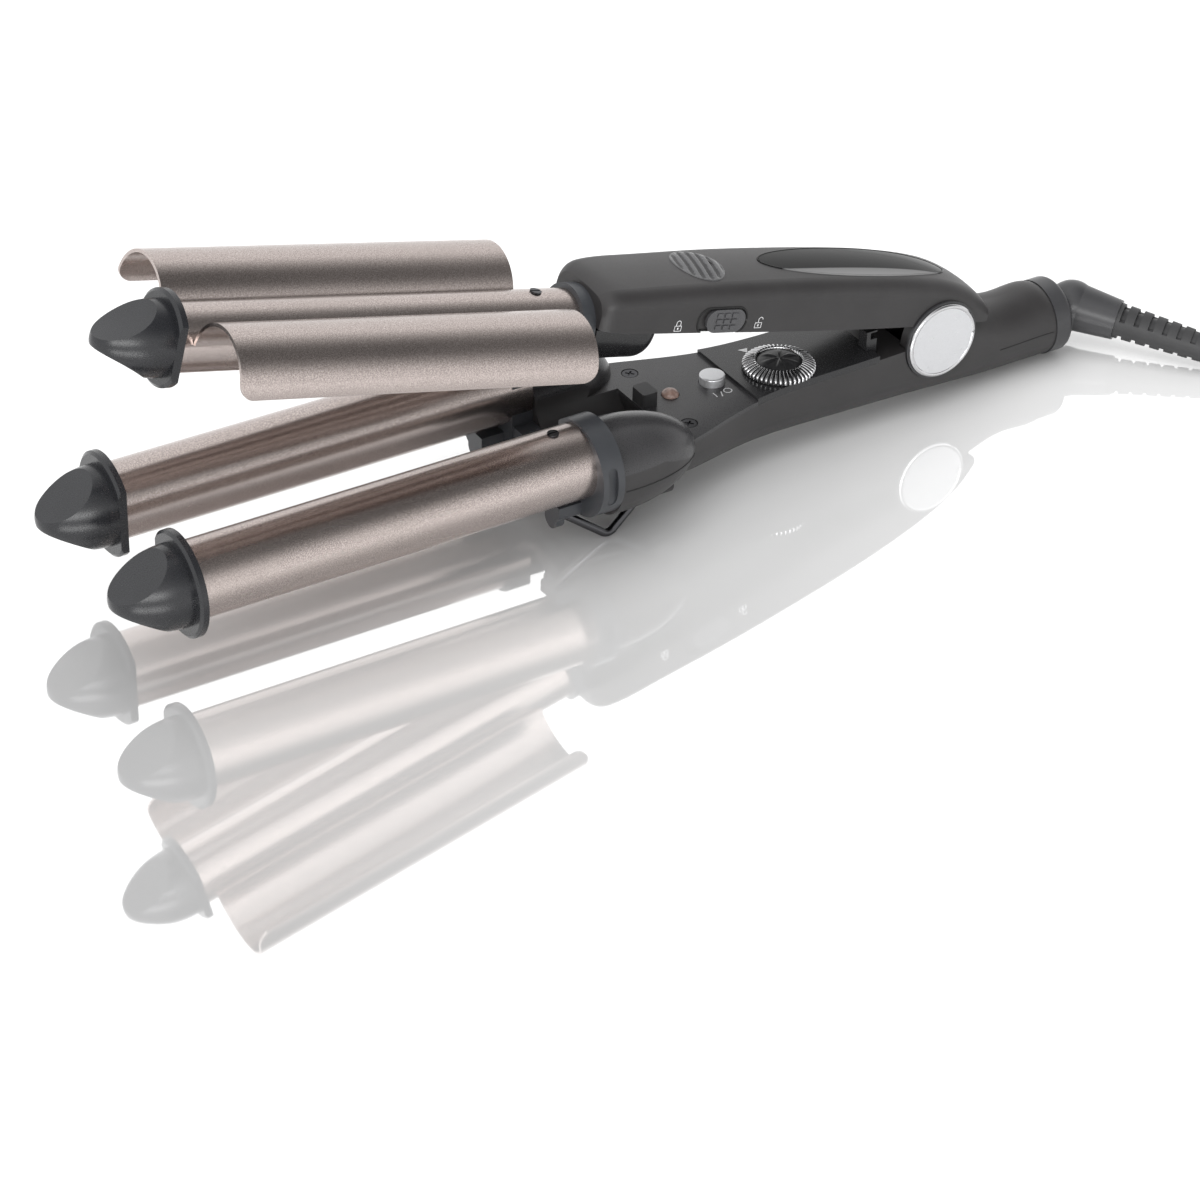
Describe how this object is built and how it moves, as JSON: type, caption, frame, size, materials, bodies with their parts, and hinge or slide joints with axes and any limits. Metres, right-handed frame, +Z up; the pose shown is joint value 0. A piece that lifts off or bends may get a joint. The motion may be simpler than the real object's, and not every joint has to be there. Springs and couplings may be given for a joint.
{
  "type": "hair crimper",
  "caption": "Triple-barrel hair waver: two lower barrels and a hinged upper arm with a middle barrel and curved plates, on a slim handle with a dial, lock, fold-out feet and swivel cord.",
  "frame": {"origin": "on the table, under the middle of the tool measured without its cord", "axes": "+X from the barrels' tips along the handle to the cord, +Y to the far side from the lock slide, +Z up"},
  "size_m": [0.5489, 0.1077, 0.1032],
  "materials": {
    "casing": "soft-touch matte anthracite",
    "collar_plastic": "satin bluish grey, heat resistant",
    "tip_plastic": "satin dark bluish grey, heat resistant",
    "barrel_metal": "satin taupe ceramic coating with a fine pearl",
    "gloss_black": "gloss",
    "silver_trim": "satin silver with polished bevels",
    "dark_trim": "satin black",
    "steel": "dark bright steel",
    "lamp": "translucent rose",
    "rubber": "matte black",
    "spreader": "bare extruded",
    "ceramic": "fired ceramic",
    "electronics": "coated board",
    "plug_metal": "nickel plated"
  },
  "bodies": {
    "handle": {"lower_shell": "casing", "deck_cover": "casing", "dial_panel": "casing", "tail_cover": "casing", "tail_collar": "gloss_black", "collar_bridge": "collar_plastic", "catch_block": "rubber", "indicator_lamp": "lamp", "deck_screws": "steel", "lower_barrel_screws": "steel", "circuit_board": "electronics", "power_switch": "electronics", "potentiometer": "electronics", "thermal_fuse": "ceramic", "thermistor": "ceramic", "hinge_pin": "steel", "hinge_spring": "steel", "hinge_caps": "dark_trim", "hinge_discs": "silver_trim", "latch_keeper": "dark_trim", "lower_barrel_near": "barrel_metal", "lower_tip_near": "tip_plastic", "barrel_collar_near": "collar_plastic", "barrel_holder_near": "tip_plastic", "heat_spreader_near": "spreader", "ceramic_heater_near": "ceramic", "lower_barrel_far": "barrel_metal", "lower_tip_far": "tip_plastic", "barrel_collar_far": "collar_plastic", "barrel_holder_far": "tip_plastic", "heat_spreader_far": "spreader", "ceramic_heater_far": "ceramic", "cord": "rubber", "cord_coil": "rubber", "cord_tie": "rubber", "cord_end": "rubber", "plug_body": "rubber", "plug_pins": "plug_metal"},
    "upper_arm": {"upper_shell": "casing", "name_plate": "gloss_black", "ribbed_inset": "casing", "upper_liner": "casing", "upper_screws": "steel", "upper_ring": "collar_plastic", "upper_barrel": "barrel_metal", "upper_tip": "tip_plastic", "upper_holder": "tip_plastic", "upper_spreader": "spreader", "upper_heater": "ceramic", "curved_plate_near": "barrel_metal", "curved_plate_far": "barrel_metal"},
    "lock": {"lock_slider": "dark_trim"},
    "button": {"power_button": "silver_trim"},
    "dial": {"dial_wheel": "silver_trim", "dial_cap": "gloss_black"},
    "foot_near": {"wire_foot_near": "steel"},
    "foot_far": {"wire_foot_far": "steel"},
    "swivel": {"swivel_ball": "gloss_black", "cord_sleeve": "rubber"}
  },
  "joints": [
    {"name": "jaw_hinge", "type": "hinge", "parent": "handle", "child": "upper_arm", "pos_m": [0.1017, 0, 0.024], "axis": [0, -1, 0], "range_deg": [0, 13.9], "stiffness_Nm_per_rad": 0.6, "springref_deg": -34.38},
    {"name": "lock_slide", "type": "slide", "parent": "upper_arm", "child": "lock", "axis": [-0.9707, 0, 0.2402], "range_m": [0, 0.0024]},
    {"name": "power_press", "type": "slide", "parent": "handle", "child": "button", "axis": [0, 0, -1], "range_m": [0, 0.0012], "stiffness_N_per_m": 300, "springref_m": -0.001},
    {"name": "dial_turn", "type": "hinge", "parent": "handle", "child": "dial", "pos_m": [0.0492, -0.0045, 0.0264], "axis": [0, 0, 1], "range_deg": [-135, 135]},
    {"name": "foot_near_fold", "type": "hinge", "parent": "handle", "child": "foot_near", "pos_m": [-0.0213, -0.0215, 0.0108], "axis": [1, 0, 0], "range_deg": [0, 65]},
    {"name": "foot_far_fold", "type": "hinge", "parent": "handle", "child": "foot_far", "pos_m": [-0.0213, 0.0215, 0.0108], "axis": [-1, 0, 0], "range_deg": [0, 65]},
    {"name": "cord_swivel", "type": "hinge", "parent": "handle", "child": "swivel", "pos_m": [0.1627, 0, 0.0117], "axis": [-1, 0, 0], "continuous": true}
  ]
}
